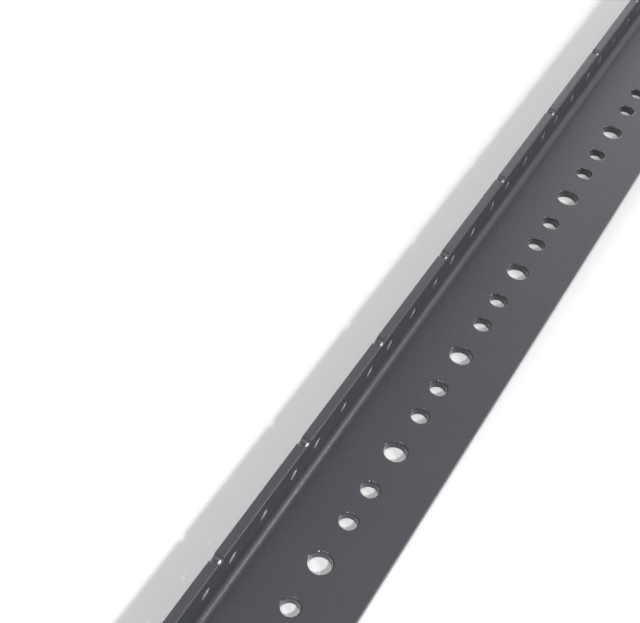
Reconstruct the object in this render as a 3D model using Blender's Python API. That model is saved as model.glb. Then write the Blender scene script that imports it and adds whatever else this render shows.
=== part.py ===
"""Rack mounting rail: one length of folded sheet steel, drilled for 19 inch rack equipment.

The rail lies on its wide side flange. X runs along the rail, the narrow equipment flange stands
up along the -Y edge, and the wide flange reaches towards +Y. The origin is the middle of the
resting face, so the underside of the wide flange is z = 0. Sizes are in metres.
"""
import math

import bmesh
import bpy
from mathutils import Matrix

# The rack grid: each unit of height has three holes, one in its middle and one each side of it
UNIT_PITCH = 0.04445
UNIT_COUNT = 12
HOLE_STEP = 0.015875

# The folded section
SIDE_FLANGE_WIDTH = 0.0381
FACE_FLANGE_HEIGHT = 0.0175
SHEET = 0.003
INSIDE_BEND = 0.0025
SHEARED_EDGE = 0.0002
ROLLED_EDGE = 0.0005

# The holes in the side flange, on one line measured from the equipment face
SIDE_HOLE_LINE = 0.0213
LARGE_HOLE = 0.007
SMALL_HOLE = 0.0055

# The tapped holes in the equipment flange, at the thread's minor diameter, above the resting face
TAPPED_HOLE_LINE = 0.01075
TAPPED_HOLE = 0.0041

# The small round-bottomed groove that marks each unit boundary on the equipment flange's edge
MARK_WIDTH = 0.003
MARK_DEPTH = 0.001

# How finely round shapes are divided
BEND_SEGMENTS = 6
EDGE_SEGMENTS = 2
HOLE_SIDES = 24
TAPPED_HOLE_SIDES = 16
MARK_SIDES = 20

# How far a cutter stands out of the faces that it goes through
OVERSHOOT = 0.002

# Black powder coating
COATING_COLOUR = (0.043, 0.046, 0.054, 1.0)
COATING_ROUGHNESS = 0.35

LENGTH = UNIT_PITCH * UNIT_COUNT
EQUIPMENT_FACE_Y = -SIDE_FLANGE_WIDTH / 2
FREE_EDGE_Y = SIDE_FLANGE_WIDTH / 2
# The groove's arc passes through both its lips and its bottom
MARK_RADIUS = (MARK_DEPTH ** 2 + (MARK_WIDTH / 2) ** 2) / (2 * MARK_DEPTH)
UNIT_MIDDLES = [(i + 0.5) * UNIT_PITCH - LENGTH / 2 for i in range(UNIT_COUNT)]
UNIT_BOUNDARIES = [i * UNIT_PITCH - LENGTH / 2 for i in range(1, UNIT_COUNT)]


def clear_scene():
    for old in list(bpy.data.objects):
        bpy.data.objects.remove(old, do_unlink=True)


def powder_coating():
    material = bpy.data.materials.new("black_powder_coating")
    material.use_nodes = True
    shader = material.node_tree.nodes["Principled BSDF"]
    shader.inputs["Base Color"].default_value = COATING_COLOUR
    shader.inputs["Roughness"].default_value = COATING_ROUGHNESS
    shader.inputs["Metallic"].default_value = 0.0
    return material


def round_long_edge(bm, y, z, radius, segments):
    """Round the edges that run along X at one corner of the section."""
    def on_corner(vert):
        return abs(vert.co.y - y) < 1e-6 and abs(vert.co.z - z) < 1e-6

    corner = [edge for edge in bm.edges if on_corner(edge.verts[0]) and on_corner(edge.verts[1])]
    bmesh.ops.bevel(bm, geom=corner, offset=radius, offset_type="OFFSET", segments=segments,
                    profile=0.5, affect="EDGES", material=-1)


def folded_section():
    """The L-shaped section, swept along the rail and rounded at its bend and its edges.

    Sheared edges stay nearly square, and the equipment flange's inner edge is rolled softer.
    """
    face_inside_y = EQUIPMENT_FACE_Y + SHEET
    outline = [
        (EQUIPMENT_FACE_Y, 0.0),
        (FREE_EDGE_Y, 0.0),
        (FREE_EDGE_Y, SHEET),
        (face_inside_y, SHEET),
        (face_inside_y, FACE_FLANGE_HEIGHT),
        (EQUIPMENT_FACE_Y, FACE_FLANGE_HEIGHT),
    ]
    bm = bmesh.new()
    section = bm.faces.new([bm.verts.new((-LENGTH / 2, y, z)) for y, z in outline])
    swept = bmesh.ops.extrude_face_region(bm, geom=[section])["geom"]
    far_end = [part for part in swept if isinstance(part, bmesh.types.BMVert)]
    bmesh.ops.translate(bm, verts=far_end, vec=(LENGTH, 0.0, 0.0))
    bmesh.ops.recalc_face_normals(bm, faces=bm.faces)

    round_long_edge(bm, EQUIPMENT_FACE_Y, 0.0, INSIDE_BEND + SHEET, BEND_SEGMENTS)
    round_long_edge(bm, face_inside_y, SHEET, INSIDE_BEND, BEND_SEGMENTS)
    round_long_edge(bm, *outline[4], ROLLED_EDGE, EDGE_SEGMENTS)
    for y, z in outline[1:3] + outline[5:]:
        round_long_edge(bm, y, z, SHEARED_EDGE, EDGE_SEGMENTS)

    # Lines between the holes of each unit keep the faces around the holes short
    for middle in UNIT_MIDDLES:
        for side in (-0.5, 0.5):
            bmesh.ops.bisect_plane(bm, geom=bm.verts[:] + bm.edges[:] + bm.faces[:],
                                   plane_co=(middle + side * HOLE_STEP, 0.0, 0.0),
                                   plane_no=(1.0, 0.0, 0.0))
    return bm


def add_drill(bm, diameter, sides, centre, axis, depth):
    """One closed round cutter through a flange, along Z or along Y."""
    turn = Matrix.Rotation(math.radians(90), 4, "X") if axis == "Y" else Matrix.Identity(4)
    bmesh.ops.create_cone(bm, cap_ends=True, segments=sides, radius1=diameter / 2,
                          radius2=diameter / 2, depth=depth,
                          matrix=Matrix.Translation(centre) @ turn)


def all_cutters():
    """Every hole and every unit mark, as separate round cutters in one mesh."""
    bm = bmesh.new()
    through = SHEET + 2 * OVERSHOOT
    side_hole_y = EQUIPMENT_FACE_Y + SIDE_HOLE_LINE
    face_middle_y = EQUIPMENT_FACE_Y + SHEET / 2
    for middle in UNIT_MIDDLES:
        for step, diameter in ((-1, SMALL_HOLE), (0, LARGE_HOLE), (1, SMALL_HOLE)):
            x = middle + step * HOLE_STEP
            add_drill(bm, diameter, HOLE_SIDES, (x, side_hole_y, SHEET / 2), "Z", through)
            add_drill(bm, TAPPED_HOLE, TAPPED_HOLE_SIDES, (x, face_middle_y, TAPPED_HOLE_LINE),
                      "Y", through)
    mark_z = FACE_FLANGE_HEIGHT - MARK_DEPTH + MARK_RADIUS
    for boundary in UNIT_BOUNDARIES:
        add_drill(bm, 2 * MARK_RADIUS, MARK_SIDES, (boundary, face_middle_y, mark_z), "Y",
                  through)
    return bm


def object_from(bm, name):
    mesh = bpy.data.meshes.new(name)
    bm.to_mesh(mesh)
    bm.free()
    made = bpy.data.objects.new(name, mesh)
    bpy.context.scene.collection.objects.link(made)
    return made


def build_rail():
    rail = object_from(folded_section(), "rack_rail")
    cutters = object_from(all_cutters(), "hole_cutters")
    cutters.hide_render = True
    cutters.display_type = "WIRE"

    drilling = rail.modifiers.new("drilling", "BOOLEAN")
    drilling.operation = "DIFFERENCE"
    drilling.solver = "EXACT"
    drilling.object = cutters

    # The drilled mesh replaces the blank, so that its hole rims can be marked sharp
    evaluated = rail.evaluated_get(bpy.context.evaluated_depsgraph_get())
    drilled = bpy.data.meshes.new_from_object(evaluated)
    rail.modifiers.clear()
    rail.data = drilled
    drilled.name = "rack_rail"
    bpy.data.objects.remove(cutters, do_unlink=True)
    drilled.shade_smooth()
    drilled.set_sharp_from_angle(angle=math.radians(30))
    drilled.materials.clear()
    drilled.materials.append(powder_coating())
    return rail


clear_scene()
build_rail()
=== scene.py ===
# %% [markdown]
# This lesson dresses a rack mounting rail: one length of sheet steel, folded to an L. Its narrow
# flange has tapped holes for the equipment's screws, and its wide flange has plain holes for fixing
# the rail to the side of a cabinet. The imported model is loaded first. It fixes the size and the
# place of everything that follows, so nothing here is moved or scaled to fit.

# %% Load the frame
import math

import bmesh
import bpy
from mathutils import Matrix, Quaternion, Vector


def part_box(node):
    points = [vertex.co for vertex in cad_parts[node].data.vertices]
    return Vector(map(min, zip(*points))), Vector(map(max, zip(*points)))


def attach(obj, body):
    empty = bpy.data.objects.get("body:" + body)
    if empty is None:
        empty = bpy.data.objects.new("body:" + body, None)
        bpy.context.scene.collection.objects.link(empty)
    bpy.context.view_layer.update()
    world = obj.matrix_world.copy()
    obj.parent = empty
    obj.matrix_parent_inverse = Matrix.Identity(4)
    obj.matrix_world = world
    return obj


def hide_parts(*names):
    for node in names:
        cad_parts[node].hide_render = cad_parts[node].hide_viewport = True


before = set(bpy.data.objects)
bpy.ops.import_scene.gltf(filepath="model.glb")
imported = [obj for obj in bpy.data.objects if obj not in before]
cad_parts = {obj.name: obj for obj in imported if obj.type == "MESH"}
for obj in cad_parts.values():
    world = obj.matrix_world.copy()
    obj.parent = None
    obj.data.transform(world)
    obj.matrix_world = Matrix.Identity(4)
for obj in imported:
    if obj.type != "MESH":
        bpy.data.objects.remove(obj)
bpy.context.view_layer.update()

print("frame nodes:", sorted(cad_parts))

# %% [markdown]
# All sizes are in metres. The rail's length, width and height come from the frame. The others are
# the rail's own driving sizes: rack equipment repeats every unit of 44.45 mm, with three holes in
# each unit, one in its middle and one 15.875 mm to each side. Points that lie closer together than
# TOUCHING count as one place.

# %% Sizes of the rail
rail_low, rail_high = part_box("rack_rail")
LENGTH = rail_high.x - rail_low.x
FACE_OUTSIDE = rail_low.y
FREE_EDGE = rail_high.y
BACK = rail_low.z
TOP = rail_high.z

SHEET = 0.003
INSIDE_BEND = 0.0025
SHEARED_EDGE = 0.0002
ROLLED_EDGE = 0.0005
END_ROUNDING = 0.00012

UNIT_PITCH = 0.04445
HOLE_STEP = 0.015875
SIDE_HOLE_LINE = 0.0213
LARGE_HOLE = 0.007
SMALL_HOLE = 0.0055
TOP_RIM_ROUNDING = 0.00045
BACK_RIM_ROUNDING = 0.0002
TAPPED_HOLE_LINE = 0.01075
MARK_WIDTH = 0.003
MARK_DEPTH = 0.001

FACE_INSIDE = FACE_OUTSIDE + SHEET
HOLE_LINE_Y = FACE_OUTSIDE + SIDE_HOLE_LINE
TOUCHING = 1e-6
UNIT_COUNT = round(LENGTH / UNIT_PITCH)
unit_middles = [(i + 0.5) * UNIT_PITCH - LENGTH / 2 for i in range(UNIT_COUNT)]
unit_boundaries = [i * UNIT_PITCH - LENGTH / 2 for i in range(1, UNIT_COUNT)]
print("units:", UNIT_COUNT, "unit marks:", len(unit_boundaries))

# %% [markdown]
# The camera stands over one end of the rail and looks along it and down, with a long lens, so the
# rail crosses the picture from corner to corner and narrows gently. Its place was worked out from
# the known spacing of the holes. A camera looks along its own -Z axis, so a track quaternion aims
# it, and a turn about that axis tips the picture.

# %% Camera
CAMERA_PLACE = Vector((0.28616, 0.06195, 0.30660))
CAMERA_AIM = Vector((0.02983, -0.04410, 0.0))
CAMERA_TIP = math.radians(9.906)
CAMERA_LENS = 72.695
SENSOR_WIDTH = 36.0


def place_camera():
    data = bpy.data.cameras.new("camera")
    data.sensor_fit = "HORIZONTAL"
    data.sensor_width = SENSOR_WIDTH
    data.lens = CAMERA_LENS
    camera = bpy.data.objects.new("camera", data)
    bpy.context.scene.collection.objects.link(camera)
    aimed = (CAMERA_AIM - CAMERA_PLACE).to_track_quat("-Z", "Y")
    tipped = aimed @ Quaternion((0.0, 0.0, 1.0), CAMERA_TIP)
    camera.matrix_world = Matrix.LocRotScale(CAMERA_PLACE, tipped, None)
    bpy.context.scene.camera = camera
    return camera


camera = place_camera()
print("camera at", [round(c, 4) for c in camera.location], "lens", CAMERA_LENS)

# %% [markdown]
# The real rail starts as a flat strip that a press folds to an L. Here the L is drawn as six
# corners, swept along the rail, and its bend and its free edges are rounded with bevels. The bend's
# outside radius is its inside radius and the sheet together, so the sheet keeps its thickness
# round the corner. Shears leave the free edges nearly square, and only the narrow flange's inner
# edge, which hands meet when they fit equipment, is broken to a soft round.

# %% Fold the section
BEND_SEGMENTS = 14
EDGE_SEGMENTS = 5


def round_long_edge(bm, y, z, radius, segments):
    """Round the edges that run along the rail at one corner of the section."""
    def on_corner(vert):
        return abs(vert.co.y - y) < TOUCHING and abs(vert.co.z - z) < TOUCHING

    corner = [edge for edge in bm.edges if on_corner(edge.verts[0]) and on_corner(edge.verts[1])]
    bmesh.ops.bevel(bm, geom=corner, offset=radius, offset_type="OFFSET", segments=segments,
                    profile=0.5, affect="EDGES", material=-1)


def fold_section():
    corners = [
        (FACE_OUTSIDE, BACK),
        (FREE_EDGE, BACK),
        (FREE_EDGE, BACK + SHEET),
        (FACE_INSIDE, BACK + SHEET),
        (FACE_INSIDE, TOP),
        (FACE_OUTSIDE, TOP),
    ]
    bm = bmesh.new()
    section = bm.faces.new([bm.verts.new((-LENGTH / 2, y, z)) for y, z in corners])
    swept = bmesh.ops.extrude_face_region(bm, geom=[section])["geom"]
    far_end = [part for part in swept if isinstance(part, bmesh.types.BMVert)]
    bmesh.ops.translate(bm, verts=far_end, vec=(LENGTH, 0.0, 0.0))
    bmesh.ops.recalc_face_normals(bm, faces=bm.faces)
    round_long_edge(bm, *corners[0], INSIDE_BEND + SHEET, BEND_SEGMENTS)
    round_long_edge(bm, *corners[3], INSIDE_BEND, BEND_SEGMENTS)
    round_long_edge(bm, *corners[4], ROLLED_EDGE, EDGE_SEGMENTS)
    for y, z in corners[1:3] + corners[5:]:
        round_long_edge(bm, y, z, SHEARED_EDGE, EDGE_SEGMENTS)
    return bm


rail = fold_section()
print("folded section:", len(rail.faces), "faces")

# %% [markdown]
# The holes and the unit marks need something to join to. Cuts across the rail give the unit marks
# enough rows of points to bend into a groove, and two more cuts in each unit part the holes from
# each other. The four wide flats are then taken out, except for a narrow band at each end, and
# they are closed again later, around the holes.

# %% Cut lines across the rail
END_BAND = 0.001
MARK_ROWS = (0.0, 0.2, 0.4, 0.58, 0.74, 0.88, 1.0, 1.12, 1.3)
FLAT_LEAST = 0.005


def cut_places():
    places = [-LENGTH / 2 + END_BAND, LENGTH / 2 - END_BAND]
    for middle in unit_middles:
        places += [middle - HOLE_STEP / 2, middle + HOLE_STEP / 2]
    for boundary in unit_boundaries:
        for share in MARK_ROWS:
            places += [boundary - share * MARK_WIDTH / 2, boundary + share * MARK_WIDTH / 2]
    return sorted(set(places))


def cut_across(bm, x):
    bmesh.ops.bisect_plane(bm, geom=bm.verts[:] + bm.edges[:] + bm.faces[:],
                           plane_co=(x, 0.0, 0.0), plane_no=(1.0, 0.0, 0.0))


def is_wide_flat(face):
    """True for a face of the four wide flats that lies between the two end bands."""
    ys = [vert.co.y for vert in face.verts]
    zs = [vert.co.z for vert in face.verts]
    inside = abs(face.calc_center_median().x) < LENGTH / 2 - END_BAND
    return inside and max(max(ys) - min(ys), max(zs) - min(zs)) > FLAT_LEAST


for x in cut_places():
    cut_across(rail, x)
wide_flats = [face for face in rail.faces if is_wide_flat(face)]
bmesh.ops.delete(rail, geom=wide_flats, context="FACES")
print("cuts:", len(cut_places()), "flat faces taken out:", len(wide_flats))

# %% [markdown]
# The rail's ends are sawn square and then coated, so their edges are a little soft. Each end is
# one face, and a small bevel on the edges around it does that.

# %% Soften the ends
END_SEGMENTS = 3


def end_edges(bm):
    found = []
    for edge in bm.edges:
        at_end = all(abs(abs(vert.co.x) - LENGTH / 2) < TOUCHING for vert in edge.verts)
        if at_end:
            found.append(edge)
    return found


around_ends = end_edges(rail)
bmesh.ops.bevel(rail, geom=around_ends, offset=END_ROUNDING, offset_type="OFFSET",
                segments=END_SEGMENTS, profile=0.5, affect="EDGES", material=-1)
print("end edges rounded:", len(around_ends))

# %% [markdown]
# A small round-bottomed groove across the narrow flange's edge marks each unit boundary, so that
# the fitter can count units. The groove's arc passes through its two lips and its bottom. The
# points of the flange's edge sink along that arc, and a small softness keeps the lips from being
# sharp, as the coating does.

# %% Unit marks
MARK_RADIUS = (MARK_DEPTH ** 2 + (MARK_WIDTH / 2) ** 2) / (2 * MARK_DEPTH)
LIP_SOFTNESS = 0.0001


def mark_depth(offset):
    """How far the groove lies below the flange's edge, at an offset from its middle."""
    reach = min(abs(offset), MARK_RADIUS)
    arc = math.sqrt(MARK_RADIUS ** 2 - reach ** 2) - (MARK_RADIUS - MARK_DEPTH)
    past = abs(offset) - reach
    level = arc - past
    return (level + math.sqrt(level ** 2 + LIP_SOFTNESS ** 2)) / 2


def nearest_boundary(x):
    return min(unit_boundaries, key=lambda boundary: abs(x - boundary))


def sink_marks(bm):
    """Sink the points of the flange's edge into the grooves, and return them."""
    sunk = set()
    for vert in bm.verts:
        offset = vert.co.x - nearest_boundary(vert.co.x)
        on_edge = vert.co.z > TOP - ROLLED_EDGE - TOUCHING
        if on_edge and abs(offset) <= MARK_ROWS[-1] * MARK_WIDTH / 2:
            vert.co.z -= mark_depth(offset)
            sunk.add(vert)
    return sunk


sunk_points = sink_marks(rail)
print("points sunk for the unit marks:", len(sunk_points))

# %% [markdown]
# The marks are ground in before coating, and handling then rubs the bottom of each groove bright.
# An attribute on the corners of the faces, worn_groove, says how worn each place along the groove's
# arc is, from 0 to 1. The material reads it, and narrows the wear to a band across the sheet.

# %% Wear in the unit marks
WORN_FROM_DEPTH = 0.65
WORN_AT_DEPTH = 1.0

worn_groove = rail.loops.layers.float.new("worn_groove")


def groove_wear(point):
    """1 at the groove's bottom, and 0 at its lips."""
    depth = mark_depth(point.x - nearest_boundary(point.x)) / MARK_DEPTH
    deep = (depth - WORN_FROM_DEPTH) / (WORN_AT_DEPTH - WORN_FROM_DEPTH)
    return min(max(deep, 0.0), 1.0)


grooves = [face for face in rail.faces if all(vert in sunk_points for vert in face.verts)]
for face in grooves:
    for corner in face.loops:
        corner[worn_groove] = groove_wear(corner.vert.co)
print("faces in the unit marks:", len(grooves))

# %% [markdown]
# The plain holes are punched from the inner side before the coating goes on. The punch draws their
# top rims down to a soft round, and leaves the back ones nearly square. Each hole is a lining: the
# outline of its wall and its two rims, turned once about the hole's axis. A full turn needs
# use_merge, or the first and the last step would stay apart. Inside the holes the melted powder
# runs smoother than on the flats, and a second attribute, smooth_shaded_lining, marks that.

# %% Plain holes in the wide flange
HOLE_SIDES = 48
RIM_SEGMENTS = 4

# Where this attribute is 1, the material also paints shade on the hole walls, a darker colour than
# on the flats.
smooth_shaded_lining = rail.loops.layers.float.new("smooth_shaded_lining")


def rim_arc(hole_radius, face, rounding, start):
    """Points along a quarter of a rim, as distance from the axis and height."""
    points = []
    for step in range(RIM_SEGMENTS + 1):
        angle = math.radians(start + 90.0 * step / RIM_SEGMENTS)
        points.append((hole_radius + abs(rounding) * (1.0 + math.cos(angle)),
                       face - rounding + abs(rounding) * math.sin(angle)))
    return points


def add_plain_hole(bm, diameter, x):
    faces_before = len(bm.faces)
    outline = rim_arc(diameter / 2, BACK + SHEET, TOP_RIM_ROUNDING, 90.0)
    outline += rim_arc(diameter / 2, BACK, -BACK_RIM_ROUNDING, 180.0)
    line = [bm.verts.new((x + radius, HOLE_LINE_Y, z)) for radius, z in outline]
    wall = [bm.edges.new(pair) for pair in zip(line, line[1:])]
    bmesh.ops.spin(bm, geom=line + wall, cent=(x, HOLE_LINE_Y, 0.0), axis=(0.0, 0.0, 1.0),
                   angle=math.radians(360.0), steps=HOLE_SIDES, use_merge=True)
    bm.faces.ensure_lookup_table()
    for face in bm.faces[faces_before:]:
        for corner in face.loops:
            corner[smooth_shaded_lining] = 1.0


for middle in unit_middles:
    add_plain_hole(rail, SMALL_HOLE, middle - HOLE_STEP)
    add_plain_hole(rail, LARGE_HOLE, middle)
    add_plain_hole(rail, SMALL_HOLE, middle + HOLE_STEP)
print("plain holes:", 3 * UNIT_COUNT)

# %% [markdown]
# The tapped holes carry the equipment's screws. A real thread is a groove that climbs as it goes
# round, so its outline over one pitch is spun with a small climb at each step, and the turns are
# welded where they meet. The ends are cut off level with the sheet, and the points near each face
# are pushed out to a small countersink, which leaves a true circle there.

# %% One tapped hole
THREAD_MAJOR = 0.00483
THREAD_MINOR = 0.0041
THREAD_PITCH = 0.000794
CREST_FLAT = THREAD_PITCH / 4
COUNTERSINK = 0.0001
THREAD_SIDES = 24
THREAD_TURNS = 5


def thread_outline():
    """The thread over one pitch: distance from the axis and place along it."""
    flank = (THREAD_MAJOR - THREAD_MINOR) / 2 * math.tan(math.radians(30.0))
    return [
        (THREAD_MINOR / 2, 0.0),
        (THREAD_MINOR / 2, CREST_FLAT),
        (THREAD_MAJOR / 2, CREST_FLAT + flank),
        (THREAD_MAJOR / 2, THREAD_PITCH - flank),
        (THREAD_MINOR / 2, THREAD_PITCH),
    ]


def cut_thread_across(bm, y, side=0.0):
    """Cut the thread at y. A side of 1 or -1 takes away what lies past the cut on that side."""
    bmesh.ops.bisect_plane(bm, geom=bm.verts[:] + bm.edges[:] + bm.faces[:],
                           plane_co=(0.0, y, 0.0), plane_no=(0.0, side or 1.0, 0.0),
                           clear_outer=side != 0.0)


def open_countersink(bm):
    for vert in bm.verts:
        past = abs(vert.co.y) - (SHEET / 2 - COUNTERSINK)
        radius = math.hypot(vert.co.x, vert.co.z)
        wanted = max(radius, THREAD_MINOR / 2 + past)
        if past > 0.0:
            vert.co.x *= wanted / radius
            vert.co.z *= wanted / radius


def tap_hole():
    bm = bmesh.new()
    start = -(THREAD_TURNS + 1) * THREAD_PITCH / 2
    line = [bm.verts.new((radius, start + along, 0.0)) for radius, along in thread_outline()]
    groove = [bm.edges.new(pair) for pair in zip(line, line[1:])]
    bmesh.ops.spin(bm, geom=line + groove, axis=(0.0, 1.0, 0.0),
                   dvec=(0.0, THREAD_PITCH / THREAD_SIDES, 0.0),
                   angle=math.radians(360.0 * THREAD_TURNS), steps=THREAD_SIDES * THREAD_TURNS)
    bmesh.ops.remove_doubles(bm, verts=bm.verts, dist=TOUCHING)
    for side in (1.0, -1.0):
        cut_thread_across(bm, side * SHEET / 2, side)
        cut_thread_across(bm, side * (SHEET / 2 - COUNTERSINK))
    open_countersink(bm)
    mesh = bpy.data.meshes.new("tapped_hole")
    bm.to_mesh(mesh)
    bm.free()
    return mesh


tapped_hole = tap_hole()
print("one tapped hole:", len(tapped_hole.polygons), "faces")

# %% [markdown]
# The thread is cleaned out with a tap after coating, so it is bare steel, and a third attribute,
# bare_steel, is 1 there. Powder stays on its first turn at either end, so the attribute falls to 0
# towards the faces. A corner belongs to one face only, so nothing runs out over the flat.

# %% All the tapped holes
FACE_MIDDLE = FACE_OUTSIDE + SHEET / 2
COATED_REACH = 0.001

bare_steel = rail.loops.layers.float.new("bare_steel")


def add_tapped_hole(bm, x):
    verts_before, faces_before = len(bm.verts), len(bm.faces)
    bm.from_mesh(tapped_hole)
    bm.verts.ensure_lookup_table()
    bm.faces.ensure_lookup_table()
    bmesh.ops.translate(bm, verts=bm.verts[verts_before:],
                        vec=(x, FACE_MIDDLE, BACK + TAPPED_HOLE_LINE))
    for face in bm.faces[faces_before:]:
        for corner in face.loops:
            depth = SHEET / 2 - abs(corner.vert.co.y - FACE_MIDDLE)
            corner[bare_steel] = min(depth / COATED_REACH, 1.0)


for middle in unit_middles:
    for step in (-HOLE_STEP, 0.0, HOLE_STEP):
        add_tapped_hole(rail, middle + step)
print("tapped holes:", 3 * UNIT_COUNT)

# %% [markdown]
# Now each wide flat is closed again. All the open edges in its plane, which are its outline and
# the rims of its holes, are given to triangle_fill, which fills between them. After the four
# flats no open edge is left, and the rail is one closed body.

# %% Close the flats around the holes


def close_flat(bm, axis, level):
    def in_plane(edge):
        return all(abs(vert.co[axis] - level) < TOUCHING for vert in edge.verts)

    rims = [edge for edge in bm.edges if edge.is_boundary and in_plane(edge)]
    normal = [0.0, 0.0, 0.0]
    normal[axis] = 1.0
    bmesh.ops.triangle_fill(bm, use_beauty=True, use_dissolve=False, edges=rims, normal=normal)
    return len(rims)


Y, Z = 1, 2
for axis, level in ((Z, BACK), (Z, BACK + SHEET), (Y, FACE_OUTSIDE), (Y, FACE_INSIDE)):
    print("closed a flat inside", close_flat(rail, axis, level), "edges")
bmesh.ops.recalc_face_normals(rail, faces=rail.faces)
open_edges = [edge for edge in rail.edges if not edge.is_manifold]
print("edges that don't join two faces:", len(open_edges), "volume in cubic mm:",
      round(rail.calc_volume() * 1e9))

# %% [markdown]
# The finished mesh becomes one object that stands for the solid rail. Smooth shading rounds the
# bend, the rims and the edges, the sharp edges of the thread are marked by their angle, and
# weighted normals keep the large flats perfectly flat beside their small roundings, because they
# let the larger faces decide.

# %% The rail as an object
SHARP_ANGLE = math.radians(35.0)
FLAT_WEIGHT = 50


def rail_object(bm):
    mesh = bpy.data.meshes.new("coated_rail")
    bm.to_mesh(mesh)
    bm.free()
    mesh.shade_smooth()
    mesh.set_sharp_from_angle(angle=SHARP_ANGLE)
    made = bpy.data.objects.new("coated_rail", mesh)
    bpy.context.scene.collection.objects.link(made)
    flat_normals = made.modifiers.new("flat_normals", "WEIGHTED_NORMAL")
    flat_normals.mode = "FACE_AREA"
    flat_normals.weight = FLAT_WEIGHT
    flat_normals.keep_sharp = True
    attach(made, "root")
    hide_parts("rack_rail")
    return made


coated_rail = rail_object(rail)
triangles = sum(len(face.vertices) - 2 for face in coated_rail.data.polygons)
print("coated_rail:", triangles, "triangles")

# %% [markdown]
# Materials are written as sums. This small class holds one output of a node, and Python's own
# signs on it add Math nodes. Every other node comes from its one method, node, which sets the
# node's settings first and then its sockets.

# %% Shader maths


class Signal:
    """An output of a material's node, which can be added, multiplied and passed on."""

    def __init__(self, tree, socket=None):
        self.tree = tree
        self.socket = socket

    def node(self, kind, settings, sockets, output=0):
        made = self.tree.nodes.new(kind)
        for name, value in settings.items():
            setattr(made, name, value)
        for name, value in sockets.items():
            if isinstance(value, Signal):
                self.tree.links.new(value.socket, made.inputs[name])
            else:
                made.inputs[name].default_value = value
        return Signal(self.tree, made.outputs[output])

    def maths(self, operation, first, second=0.0, clamp=False):
        settings = {"operation": operation, "use_clamp": clamp}
        return self.node("ShaderNodeMath", settings, {0: first, 1: second})

    def __add__(self, other):
        return self.maths("ADD", self, other)

    def __radd__(self, other):
        return self.maths("ADD", other, self)

    def __sub__(self, other):
        return self.maths("SUBTRACT", self, other)

    def __rsub__(self, other):
        return self.maths("SUBTRACT", other, self)

    def __mul__(self, other):
        return self.maths("MULTIPLY", self, other)

    def __rmul__(self, other):
        return self.maths("MULTIPLY", other, self)

    def clamped(self):
        return self.maths("ADD", self, 0.0, clamp=True)

    def attribute(self, name):
        return self.node("ShaderNodeAttribute", {"attribute_name": name}, {}, output="Fac")

    def noise(self, size, detail):
        """Cloudy noise from about 0 to 1 on object coordinates, with features of that size."""
        where = self.node("ShaderNodeTexCoord", {}, {}, output="Object")
        return self.node("ShaderNodeTexNoise", {"noise_dimensions": "3D"},
                         {"Vector": where, "Scale": 1.0 / size, "Detail": detail}, output="Fac")

    def mix_colours(self, share, first, second):
        return self.node("ShaderNodeMix", {"data_type": "RGBA"},
                         {"Factor": share, "A": first, "B": second}, output="Result")


print("shader maths ready")

# %% [markdown]
# Black powder coating is a thin baked layer of plastic. It is not quite black, a little cool, and
# its skin has a fine orange peel from the powder grains that melted together. One noise gives the
# peel, a finer one the grains, and a slow one varies the colour and the gloss a little from place
# to place. Inside the plain holes, where smooth_shaded_lining is 1, the powder is smoother and has a
# clear coat over it, and its colour there is darker, which is painted shade on the hole walls. Where
# bare_steel is 1, and in a band across the sheet where worn_groove is, the same shader turns to cut
# steel, and a noise chips the border between the two.

# %% Powder coating and bare steel
COATING_DARK = (0.032, 0.035, 0.043, 1.0)
COATING_LIGHT = (0.053, 0.056, 0.066, 1.0)
COATING_ROUGHNESS = 0.34
# The lining's colour is painted shade for the walls of the plain holes, darker than the coating.
LINING_SHADE_COLOUR = (0.022, 0.024, 0.030, 1.0)
LINING_ROUGHNESS = 0.15
LINING_COAT = 0.5
LINING_COAT_ROUGHNESS = 0.15
STEEL_COLOUR = (0.78, 0.78, 0.79, 1.0)
STEEL_ROUGHNESS = 0.3
CHIP_SIZE = 0.00035
CHIP_REACH = 1.0
CHIP_SHARPNESS = 4.0
WEAR_LINE = 0.0023
WEAR_HALF_WIDTH = 0.0006
CLOUD_SIZE = 0.02
PEEL_SIZE = 0.0012
GRAIN_SIZE = 0.0005
PEEL_HEIGHT = 0.00011
PEEL_SHARE = 0.6
GRAIN_CONTRAST = 2.5
SPECK_SHARE = 0.6
CLOUD_ROUGHENS = 0.08
GRAIN_ROUGHENS = 0.1


def worn_band(start):
    """1 along the middle of the worn band across the sheet, falling to 0 at its sides."""
    where = start.node("ShaderNodeTexCoord", {}, {}, output="Object")
    y = start.node("ShaderNodeSeparateXYZ", {}, {"Vector": where}, output="Y")
    off_line = start.maths("ABSOLUTE", y - (FACE_OUTSIDE + WEAR_LINE))
    return (1.0 - off_line * (1.0 / WEAR_HALF_WIDTH)).clamped()


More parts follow.
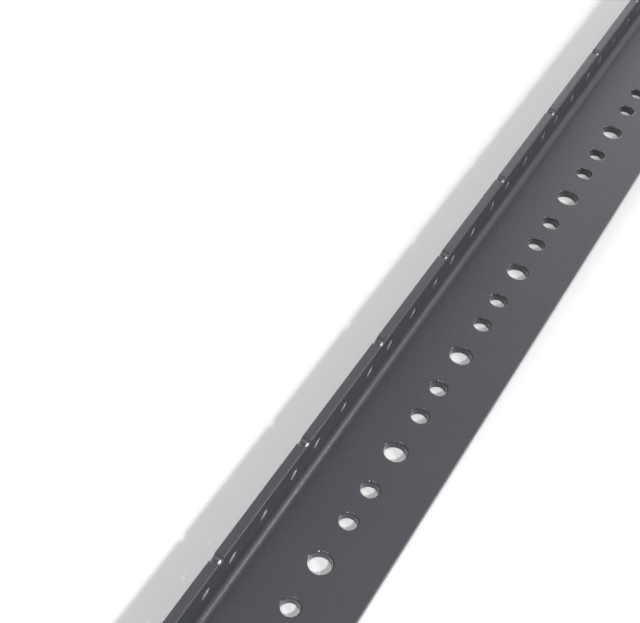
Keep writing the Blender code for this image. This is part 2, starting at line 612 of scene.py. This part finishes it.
def powder_coated_steel():
    material = bpy.data.materials.new("powder_coated_steel")
    material.use_nodes = True
    tree = material.node_tree
    shader = tree.nodes["Principled BSDF"]
    shader.inputs["Coat Roughness"].default_value = LINING_COAT_ROUGHNESS
    start = Signal(tree)

    bareness = start.attribute("bare_steel") + worn_band(start) * start.attribute("worn_groove")
    chips = start.noise(CHIP_SIZE, detail=2.0)
    bare = ((bareness + CHIP_REACH * (chips - 0.5) - 0.5) * CHIP_SHARPNESS + 0.5).clamped()
    cloud = start.noise(CLOUD_SIZE, detail=3.0)
    peel = start.noise(PEEL_SIZE, detail=1.0)
    grain = start.noise(GRAIN_SIZE, detail=2.0)

    speck = (GRAIN_CONTRAST * (grain - 0.5) + 0.5).clamped()
    shade = (1.0 - SPECK_SHARE) * cloud + SPECK_SHARE * speck
    coating = start.mix_colours(shade, COATING_DARK, COATING_LIGHT)
    lining = start.attribute("smooth_shaded_lining")
    # Painted shade: the walls of the plain holes take the darker lining colour.
    colour = start.mix_colours(lining, coating, LINING_SHADE_COLOUR)
    colour = start.mix_colours(bare, colour, STEEL_COLOUR)
    flat_roughness = (COATING_ROUGHNESS + CLOUD_ROUGHENS * (cloud - 0.5)
                      + GRAIN_ROUGHENS * (grain - 0.5))
    coating_roughness = flat_roughness + (LINING_ROUGHNESS - flat_roughness) * lining
    roughness = coating_roughness * (1.0 - bare) + STEEL_ROUGHNESS * bare
    skin = PEEL_SHARE * peel + (1.0 - PEEL_SHARE) * grain
    height = skin * (1.0 - bare) * (1.0 - lining)
    bump = start.node("ShaderNodeBump", {}, {"Strength": 1.0, "Distance": PEEL_HEIGHT,
                                             "Height": height}, output="Normal")
    tree.links.new(colour.socket, shader.inputs["Base Color"])
    tree.links.new(roughness.socket, shader.inputs["Roughness"])
    tree.links.new(bare.socket, shader.inputs["Metallic"])
    tree.links.new((LINING_COAT * lining).socket, shader.inputs["Coat Weight"])
    tree.links.new(bump.socket, shader.inputs["Normal"])
    return material


coated_rail.data.materials.append(powder_coated_steel())
print("material:", coated_rail.data.materials[0].name)

# %% [markdown]
# The rail lies on a plain white floor, a hair below its back, so that the two surfaces never share
# a plane. From just outside the rail's shadow the floor also glows, a little at first and more far
# away, so that the lamps' light can fall off and the ground stays white. Light Path limits the glow
# to what the camera and reflections see, and so it lights nothing.

# %% Floor
FLOOR_HALF = 3.0
FLOOR_GAP = 0.00005
FLOOR_COLOUR = (0.93, 0.93, 0.93, 1.0)
NEAR_GLOW = 0.20
NEAR_GLOW_FROM = 0.0325
NEAR_GLOW_FULL = 0.044
FAR_GLOW = 0.80
FAR_GLOW_FROM = 0.20
FAR_GLOW_FULL = 0.80


def seen_directly(start):
    """1 for camera, glossy and transmission rays, and 0 for the rays that carry light about."""
    path = {name: start.node("ShaderNodeLightPath", {}, {}, output=name)
            for name in ("Is Camera Ray", "Is Glossy Ray", "Is Transmission Ray")}
    return (path["Is Camera Ray"] + path["Is Glossy Ray"] + path["Is Transmission Ray"]).clamped()


def away_from_rail(start):
    """How far a place on the floor is from the rail's middle line."""
    where = start.node("ShaderNodeTexCoord", {}, {}, output="Object")
    x, y = (start.node("ShaderNodeSeparateXYZ", {}, {"Vector": where}, output=axis)
            for axis in ("X", "Y"))
    past_end = start.maths("MAXIMUM", start.maths("ABSOLUTE", x) - LENGTH / 2, 0.0)
    return start.maths("SQRT", past_end * past_end + y * y)


def rise(value, low, high):
    """A smooth climb from 0 at low to 1 at high."""
    return value.node("ShaderNodeMapRange", {"interpolation_type": "SMOOTHSTEP"},
                      {"Value": value, "From Min": low, "From Max": high}, output="Result")


def white_floor():
    material = bpy.data.materials.new("white_floor")
    material.use_nodes = True
    tree = material.node_tree
    shader = tree.nodes["Principled BSDF"]
    shader.inputs["Base Color"].default_value = FLOOR_COLOUR
    shader.inputs["Roughness"].default_value = 1.0
    shader.inputs["Specular IOR Level"].default_value = 0.0
    shader.inputs["Emission Strength"].default_value = 1.0
    start = Signal(tree)
    away = away_from_rail(start)
    glow = (NEAR_GLOW * rise(away, NEAR_GLOW_FROM, NEAR_GLOW_FULL)
            + FAR_GLOW * rise(away, FAR_GLOW_FROM, FAR_GLOW_FULL))
    tree.links.new((seen_directly(start) * glow).socket, shader.inputs["Emission Color"])
    return material


def lay_floor():
    bm = bmesh.new()
    bmesh.ops.create_grid(bm, x_segments=1, y_segments=1, size=FLOOR_HALF)
    bmesh.ops.translate(bm, verts=bm.verts, vec=(0.0, 0.0, BACK - FLOOR_GAP))
    mesh = bpy.data.meshes.new("floor")
    bm.to_mesh(mesh)
    bm.free()
    mesh.materials.append(white_floor())
    floor = bpy.data.objects.new("floor", mesh)
    bpy.context.scene.collection.objects.link(floor)


lay_floor()
print("floor laid")

# %% [markdown]
# The light is a studio's. Two small lamps stand over the free edge's side, one near the camera and
# one across from it. Both stand so high that the narrow flange's shadow ends on the same line, 15 mm
# behind it, and because they are small its edge is crisp. They also meet the tapped holes so much
# aslant that next to no light gets through. A broad, lower lamp beside the second draws the soft
# light line along the bend. A steep lamp lights the ground inside the plain holes. Beyond the far
# end, a low and a higher lamp are mirrored by the coating at a shallow angle, so the rail brightens
# with distance. A pale room lights the rest, and the camera and reflections see it as plain white.
# A lamp's strength is what a white surface that faces it would show, so its power in watts grows
# with the square of its distance.

# %% Lamps and room
ROOM_STRENGTH = 0.28


def hang_lamp(name, place, side, strength):
    data = bpy.data.lights.new(name, "AREA")
    data.shape = "SQUARE"
    data.size = side
    data.energy = strength * math.pi ** 2 * place.length_squared
    lamp = bpy.data.objects.new(name, data)
    lamp.matrix_world = Matrix.LocRotScale(place, (-place).to_track_quat("-Z", "Y"), None)
    lamp.visible_camera = False
    bpy.context.scene.collection.objects.link(lamp)
    print(name, "at", [round(c, 3) for c in place], "power", round(data.energy, 2))


def bearing(azimuth, elevation, distance):
    """A place seen from the middle of the rail, from its angles in degrees."""
    around, up = math.radians(azimuth), math.radians(elevation)
    level = distance * math.cos(up)
    return Vector((level * math.cos(around), level * math.sin(around), distance * math.sin(up)))


def light_room():
    world = bpy.data.worlds.new("pale_room")
    bpy.context.scene.world = world
    world.use_nodes = True
    tree = world.node_tree
    background = tree.nodes["Background"]
    background.inputs["Color"].default_value = (1.0, 1.0, 1.0, 1.0)
    strength = ROOM_STRENGTH + (1.0 - ROOM_STRENGTH) * seen_directly(Signal(tree))
    tree.links.new(strength.socket, background.inputs["Strength"])


hang_lamp("key_lamp", Vector((0.300, 0.238, 0.313)), side=0.02, strength=0.40)
hang_lamp("across_lamp", bearing(122.0, 44.7, 1.0), side=0.1, strength=0.21)
hang_lamp("bend_lamp", bearing(125.0, 30.0, 1.0), side=0.5, strength=0.17)
hang_lamp("steep_lamp", bearing(350.0, 65.0, 1.0), side=0.4, strength=0.29)
hang_lamp("low_far_lamp", bearing(210.0, 12.0, 1.0), side=0.5, strength=0.62)
hang_lamp("far_lamp", bearing(180.0, 28.0, 1.0), side=0.5, strength=0.05)
light_room()
bpy.context.scene.view_settings.view_transform = "Standard"
